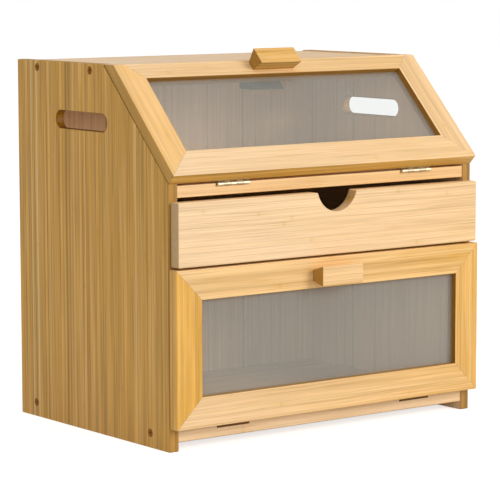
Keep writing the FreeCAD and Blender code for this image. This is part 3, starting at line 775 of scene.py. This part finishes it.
def handle(prefix, place, up, shift, tone):
    """A wooden pull that widens outwards, up the frame by up and beside its middle by shift, and the two
    screws that hold it from behind. Its section up and out of the frame is drawn out across it."""
    origin, along_a, along_b, along_c = place
    near, far = LEAF_HIGH, LEAF_HIGH + PULL_REACH
    section = rounded([(up - PULL_BASE / 2, near), (up + PULL_BASE / 2, near),
                       (up + PULL_FACE / 2, far), (up - PULL_FACE / 2, far)], PULL_EASES)
    shell = plate([(section, PULL_END_EASE, PULL_END_EASE)], shift - PULL_LONG / 2, shift + PULL_LONG / 2)
    piece(f"{prefix}_handle", f"{prefix}_pull", [placed(shell, (along_b, along_c, along_a), origin)],
          along=along_a, across=along_b, tone=tone)
    screws = [driven(PULL_SCREW, origin + x * X + up * along_b + LEAF_LOW * along_c, along_c)
              for x in (shift - PULL_SCREW_X, shift + PULL_SCREW_X)]
    piece(f"{prefix}_handle_screws", f"{prefix}_pull_screws", screws)


def keeper(prefix, place, up):
    """The steel plate that the catch holds, a rectangle drawn out through its thickness, and two screws."""
    origin, _, along_b, along_c = place
    low, high = size(f"{prefix}_strike_plate")
    middle = np.array([(low[0] + high[0]) / 2, up])
    reach = np.array([STRIKE_WIDE, STRIKE_TALL]) / 2
    spots = [(middle[0] + x, up) for x in (-STRIKE_SCREW_X, STRIKE_SCREW_X)]
    loops = [(rectangle(middle - reach, middle + reach, 2.0), 0.25, 0)]
    loops += [(circle(at, STRIKE_HOLE), 0.2, 0) for at in spots]
    face = LEAF_LOW - STRIKE_THICK
    shell = plate(loops, face, LEAF_LOW)
    piece(f"{prefix}_keeper", f"{prefix}_strike_plate", [placed(shell, place[1:], origin)])
    screws = [driven(STRIKE_SCREW, origin + x * X + y * along_b + face * along_c, along_c) for x, y in spots]
    piece(f"{prefix}_keeper_screws", f"{prefix}_strike_screws", screws)


handle("lid", LID, up=127.0, shift=-2.5, tone=0.8)
keeper("lid", LID, up=123.6)
handle("door", DOOR, up=129.2, shift=-1.0, tone=0.45)
keeper("door", DOOR, up=127.5)

# ---- drawer
NOTCH_X, NOTCH, NOTCH_DEPTH, LIP = 4.0, 23.3, 18.5, 2.0
DRAWER_SIDE = 9.0
DRAWER_HOLE, DRAWER_SCREW_Z = 3.0, (188.0, 210.0)


def drawer_face():
    """A board with a round finger notch in its upper edge. The lips beside the notch are arcs that touch both
    the edge and the notch's circle: their centres lie at NOTCH + LIP from the notch's."""
    low, high = size("drawer_front")
    edge = high[2]
    rise = NOTCH - NOTCH_DEPTH
    lean = math.asin((rise + LIP) / (NOTCH + LIP))
    lip_x = (NOTCH + LIP) * math.cos(lean)
    corners = rectangle(low[[0, 2]], high[[0, 2]], 1.0)
    lower_and_right = 3 * (len(corners) // 4)
    notch = np.vstack([arc(np.array([NOTCH_X + lip_x, edge - LIP]), LIP, math.pi / 2, math.pi - lean),
                       arc(np.array([NOTCH_X, edge + rise]), NOTCH, -lean, -math.pi + lean),
                       arc(np.array([NOTCH_X - lip_x, edge - LIP]), LIP, lean, math.pi / 2)])
    outline = np.vstack([corners[:lower_and_right], notch, corners[lower_and_right:]])
    shell = plate([(outline, FINE_EASE, EASE)], -high[1], -low[1])
    piece("drawer_face", "drawer_front", [placed(shell, FROM_FRONT)], tone=(0.0, 0.3))


def drawer_wall(side):
    """A rectangle in (y, z) with two screw holes at its rear end, drawn out through its thickness."""
    low, high = size(f"drawer_{side}_side")
    loops = [(rectangle(low[1:], high[1:], 0.5), EASE, EASE)]
    loops += [(circle((high[1] - DRAWER_SIDE / 2, z), DRAWER_HOLE), 0.1, 0.1) for z in DRAWER_SCREW_Z]
    shell = plate(loops, low[0], high[0])
    piece(f"drawer_{side}_wall", f"drawer_{side}_side", [placed(shell, FROM_SIDE)],
          along=Y, tone=INSIDE_TONE)


def drawer_rear_wall():
    """A rectangle in (y, z) drawn out from one side wall to the other."""
    low, high = size("drawer_back")
    shell = plate([(rectangle(low[1:], high[1:], EASE), 0.1, 0.1)], low[0], high[0])
    piece("drawer_rear_wall", "drawer_back", [placed(shell, FROM_SIDE)])


def drawer_floor():
    """A rectangle in (x, y) drawn out through its thickness."""
    low, high = size("drawer_bottom")
    shell = plate([(rectangle(low[:2], high[:2], 0.5), FINE_EASE, FINE_EASE)], low[2], high[2])
    piece("drawer_floor", "drawer_bottom", [placed(shell, FROM_ABOVE)], across=Y)


drawer_face()
drawer_wall("left")
drawer_wall("right")
drawer_rear_wall()
drawer_floor()

# ---- hinges, screws and catches
KNUCKLES, KNUCKLE_GAP = 5, 0.1
HINGE_SCREWS, HINGE_SCREW_OUT = (-11.0, 11.0), 7.3
HINGE_HOLE, HINGE_SCREW = 2.25, screw(2.2, 1.2, 8.0)
BLEND = 0.2                  # how far a knuckle's tail runs into the leaf's plate


def hinge_leaf(first):
    """One leaf about its axis along x, with its plate towards +y and its wood side down: the plate has
    countersunk holes, and every second knuckle from the first is a circle that runs out into the plate's
    thickness."""
    half, step = HINGE_LONG / 2, HINGE_LONG / KNUCKLES
    inner, outer = -BARREL + LEAF_THICK, BARREL + 0.4
    outline = rectangle((-half, outer), (half, HINGE_REACH), (0.1, 0.1, 1.2, 1.2))
    holes = [(circle((x, HINGE_SCREW_OUT), HINGE_HOLE), 0, 0.15) for x in HINGE_SCREWS]
    shells = [plate([(outline, 0.1, 0.2)] + holes, -BARREL, inner)]
    bend = math.asin(inner / BARREL)
    curl = np.vstack([[(outer + BLEND, inner, 0, 1)], arc(np.zeros(2), BARREL, bend, 1.5 * math.pi),
                      [(outer + BLEND, -BARREL, 0, -1)]])
    for k in range(first, KNUCKLES, 2):
        span = (-half + k * step + KNUCKLE_GAP, -half + (k + 1) * step - KNUCKLE_GAP)
        shells.append(placed(plate([(curl, 0.25, 0.25)], *span), FROM_SIDE))
    return shells


def pin():
    """The hinge pin along x, a profile with slightly domed ends turned about it."""
    half, radius = HINGE_LONG / 2, BARREL - LEAF_THICK - 0.02
    profile = [(0, -half), (radius * 0.7, -half + 0.08), (radius, -half + 0.3)]
    profile += [(r, -h) for r, h in profile[::-1]]
    return placed(lathe(profile), FROM_SIDE)


def hinges(prefix, place, fixed_finish, swing_finish):
    """Two butt hinges, with the fixed leaves flat on the shelf and the others against the lid or door. Gives
    the screws of the fixed leaves."""
    along_b, along_c = place[2:]
    swing = (-X, along_b, -along_c)
    fixed_screws, moving_screws = [], []
    for side, _ in SIDES:
        name = f"{prefix}_{side}_hinge"
        pin_low, pin_high = size(f"{name}_pin")
        axis = (pin_low + pin_high) / 2 + (HINGE_SHIFT, 0, 0)
        piece(f"{name}_shelf_leaf", f"{name}_fixed_leaf",
              [placed(shell, (X, Y, Z), axis) for shell in hinge_leaf(0)], finish_with=fixed_finish)
        piece(f"{name}_swinging_leaf", f"{name}_moving_leaf",
              [placed(shell, swing, axis) for shell in hinge_leaf(1)], finish_with=swing_finish)
        piece(f"{name}_rod", f"{name}_pin", [placed(pin(), (X, Y, Z), axis)], finish_with=fixed_finish)
        for x in HINGE_SCREWS:
            spot = np.array([x, HINGE_SCREW_OUT, -BARREL + LEAF_THICK])
            fixed_screws.append(driven(HINGE_SCREW, axis + spot, -Z))
            moving_screws.append(driven(HINGE_SCREW, axis + spot @ np.array(swing), along_c))
    piece(f"{prefix}_leaf_screws", f"{prefix}_hinge_screws", moving_screws)
    return fixed_screws


def from_both_sides(shape, x, spots, lift):
    """Screws driven towards the middle from x on either side, their heads proud by lift."""
    return [driven(shape, (-sign * x, y, z), (sign, 0, 0), lift) for sign in (-1, 1) for y, z in spots]


piece("shelf_leaf_screws", "fixed_hinge_screws",
      hinges("lid", LID, None, GAP_SHADE_HINGE) + hinges("door", DOOR, SHADE_HINGE, SHADE_HINGE))
SIDE_SCREW, DRAWER_SCREW = screw(3.7, 2.2, 45.0), screw(2.8, 1.5, 28.0)
piece("panel_screws", "side_screws", from_both_sides(SIDE_SCREW, WIDE, SIDE_SCREWS, lift=-0.25))

DRAWER_OUTER = size("drawer_screws")[1][0]
DRAWER_SCREW_Y = size("drawer_back")[1][1] - DRAWER_SIDE / 2
DRAWER_SCREWS = [(DRAWER_SCREW_Y, z) for z in DRAWER_SCREW_Z]
piece("drawer_box_screws", "drawer_screws",
      from_both_sides(DRAWER_SCREW, DRAWER_OUTER, DRAWER_SCREWS, lift=-0.1))

CATCH_SCREW, CATCH_SCREW_X = screw(2.8, 1.5, 20.0), 13.5
catch_screws = []
for prefix, catch_y in (("lid", FRONT + 97.0), ("door", FRONT + 15.0)):
    low, high = size(f"{prefix}_catch_housing")
    middle = (low[0] + high[0]) / 2
    catch_screws += [driven(CATCH_SCREW, (middle + sign * CATCH_SCREW_X, catch_y, low[2]), Z)
                     for sign in (-1, 1)]
piece("catch_block_screws", "catch_screws", catch_screws)

# The catches' housings, magnets and pole plates are shown as they are built.
for node, shown in frame["nodes"].items():
    if not shown.hide_render:
        if not shown.material_slots:
            shown.data.materials.append(None)
        for slot in shown.material_slots:
            slot.material = FINISH[SUBPARTS[node]]

# ---- floor, background and lamps
AMBIENT = 0.40
WHITE = (1, 1, 1, 1)
FLOOR, FLOOR_GREY, FLOOR_GLOW = 8.0, (0.8, 0.8, 0.8, 1), 0.70


def seen_white(wire):
    """1 for rays that show the background: straight to the camera, mirrored or through glass."""
    camera_ray, glossy, transmitted = [wire.node("ShaderNodeLightPath", None, None, name) for name in
                                       ("Is Camera Ray", "Is Glossy Ray", "Is Transmission Ray")]
    return (camera_ray + glossy + transmitted).clamped()


def paper():
    """Pale floor: light grey as a surface, with enough light of its own, where it is seen, to look white."""
    material, wire = new_material("pale_floor")
    surface = wire.node("ShaderNodeBsdfDiffuse", None, {"Color": FLOOR_GREY})
    glow = wire.node("ShaderNodeEmission", None, {"Color": WHITE, "Strength": FLOOR_GLOW})
    bright = wire.node("ShaderNodeAddShader", None, {0: surface, 1: glow})
    both = wire.node("ShaderNodeMixShader", None, {0: seen_white(wire), 1: surface, 2: bright})
    return finish(material, both)


def lay_floor():
    """A flat square at height 0, far wider than the box."""
    mesh = bpy.data.meshes.new("floor")
    corners = [(-FLOOR, -FLOOR, 0), (FLOOR, -FLOOR, 0), (FLOOR, FLOOR, 0), (-FLOOR, FLOOR, 0)]
    mesh.from_pydata(corners, [], [(0, 1, 2, 3)])
    mesh.materials.append(paper())
    floor = bpy.data.objects.new("floor", mesh)
    bpy.context.scene.collection.objects.link(floor)


def room():
    """A world that lights the box softly and is white where it is seen."""
    world = bpy.data.worlds.new("room")
    bpy.context.scene.world = world
    wire = emptied(world)
    soft = wire.node("ShaderNodeBackground", None, {"Color": WHITE, "Strength": AMBIENT})
    white = wire.node("ShaderNodeBackground", None, {"Color": WHITE, "Strength": 1.0})
    both = wire.node("ShaderNodeMixShader", None, {0: seen_white(wire), 1: soft, 2: white})
    finish(world, both, "ShaderNodeOutputWorld")


def lamp(name, azimuth, elevation, distance, across, watts, target=(0, 0, 0.17)):
    """A square soft lamp; azimuth 0 is straight in front of the box and grows to the right."""
    azimuth, elevation = math.radians(azimuth), math.radians(elevation)
    away = Vector((math.sin(azimuth) * math.cos(elevation), -math.cos(azimuth) * math.cos(elevation),
                   math.sin(elevation)))
    light = bpy.data.lights.new(name, "AREA")
    light.shape, light.size, light.energy = "SQUARE", across, watts
    hung = bpy.data.objects.new(name, light)
    turn = away.to_track_quat("Z", "Y").to_matrix().to_4x4()
    hung.matrix_world = Matrix.Translation(Vector(target) + distance * away) @ turn
    bpy.context.scene.collection.objects.link(hung)


lay_floor()
room()
lamp("key", 28, 20, 4.0, 1.8, 80.0)
lamp("fill", -38, 14, 4.0, 1.8, 24.0)
lamp("top", -8, 72, 2.4, 1.2, 9.0)
